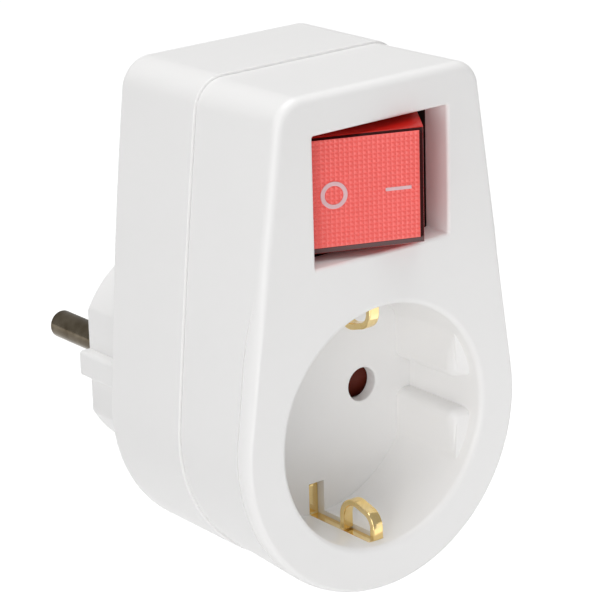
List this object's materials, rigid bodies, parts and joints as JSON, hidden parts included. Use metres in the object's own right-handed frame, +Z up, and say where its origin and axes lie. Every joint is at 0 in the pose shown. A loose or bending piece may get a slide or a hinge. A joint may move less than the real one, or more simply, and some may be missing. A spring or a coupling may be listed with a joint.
{
  "type": "switched socket adapter",
  "caption": "Plug-in mains adapter: an earthed round plug behind, a recessed shuttered socket in front and a lit red rocker switch above it.",
  "frame": {"origin": "centre of the plug's end face, between the pins", "axes": "+Y out of the plug along the pins, +Z up toward the switch, +X to the right seen from the socket side"},
  "size_m": [0.0538, 0.0795, 0.0826],
  "materials": {
    "housing_white": "satin white moulding",
    "rocker_red": "clear red, lit from inside, fine grained face",
    "switch_black": "dark moulding",
    "shutter_brown": "dark brown moulding",
    "carrier_beige": "plain moulding",
    "brass": "bright spring strip",
    "plated_pin": "dull nickel plate",
    "steel": "plated",
    "lamp_glass": "clear",
    "wire_brown": "plain cover",
    "wire_blue": "plain cover"
  },
  "bodies": {
    "housing": {"contact_carrier": "carrier_beige", "earth_rivet": "brass", "fixed_terminal_line": "brass", "fixed_terminal_neutral": "brass", "front_housing": "housing_white", "housing_screw_left": "steel", "housing_screw_right": "steel", "lamp_resistor": "carrier_beige", "outlet_wire_line": "wire_brown", "outlet_wire_neutral": "wire_blue", "pivot_terminal_line": "brass", "pivot_terminal_neutral": "brass", "plug_earth_strap": "brass", "plug_pin_left": "plated_pin", "plug_pin_right": "plated_pin", "rear_housing": "housing_white", "shutter_retainer": "steel", "shutter_spring": "steel", "socket_contact_left": "brass", "socket_contact_right": "brass", "socket_earth_strap": "brass", "supply_wire_line": "wire_brown", "supply_wire_neutral": "wire_blue", "switch_body": "switch_black"},
    "rocker": {"rocker": "rocker_red", "plunger_line": "brass", "plunger_neutral": "brass", "plunger_spring_line": "steel", "plunger_spring_neutral": "steel", "neon_lamp": "lamp_glass"},
    "bridge_line": {"contact_bridge_line": "brass"},
    "bridge_neutral": {"contact_bridge_neutral": "brass"},
    "shutter": {"shutter": "shutter_brown"}
  },
  "joints": [
    {"name": "rocker_hinge", "type": "hinge", "parent": "housing", "child": "rocker", "pos_m": [0, -0.0491, 0.03895], "axis": [0, 0, 1], "range_deg": [0, 44]},
    {"name": "bridge_line_hinge", "type": "hinge", "parent": "housing", "child": "bridge_line", "pos_m": [0, -0.0381, 0.03345], "axis": [0, 0, 1], "range_deg": [-22, 0]},
    {"name": "bridge_neutral_hinge", "type": "hinge", "parent": "housing", "child": "bridge_neutral", "pos_m": [0, -0.0381, 0.04445], "axis": [0, 0, 1], "range_deg": [-22, 0]},
    {"name": "shutter_hinge", "type": "hinge", "parent": "housing", "child": "shutter", "pos_m": [0, -0.0375, 0], "axis": [0, -1, 0], "range_deg": [0, 40], "stiffness_Nm_per_rad": 0.002}
  ],
  "couplings": [
    {"joint": "bridge_line_hinge", "follows": "rocker_hinge", "ratio": -0.5},
    {"joint": "bridge_neutral_hinge", "follows": "rocker_hinge", "ratio": -0.5}
  ]
}
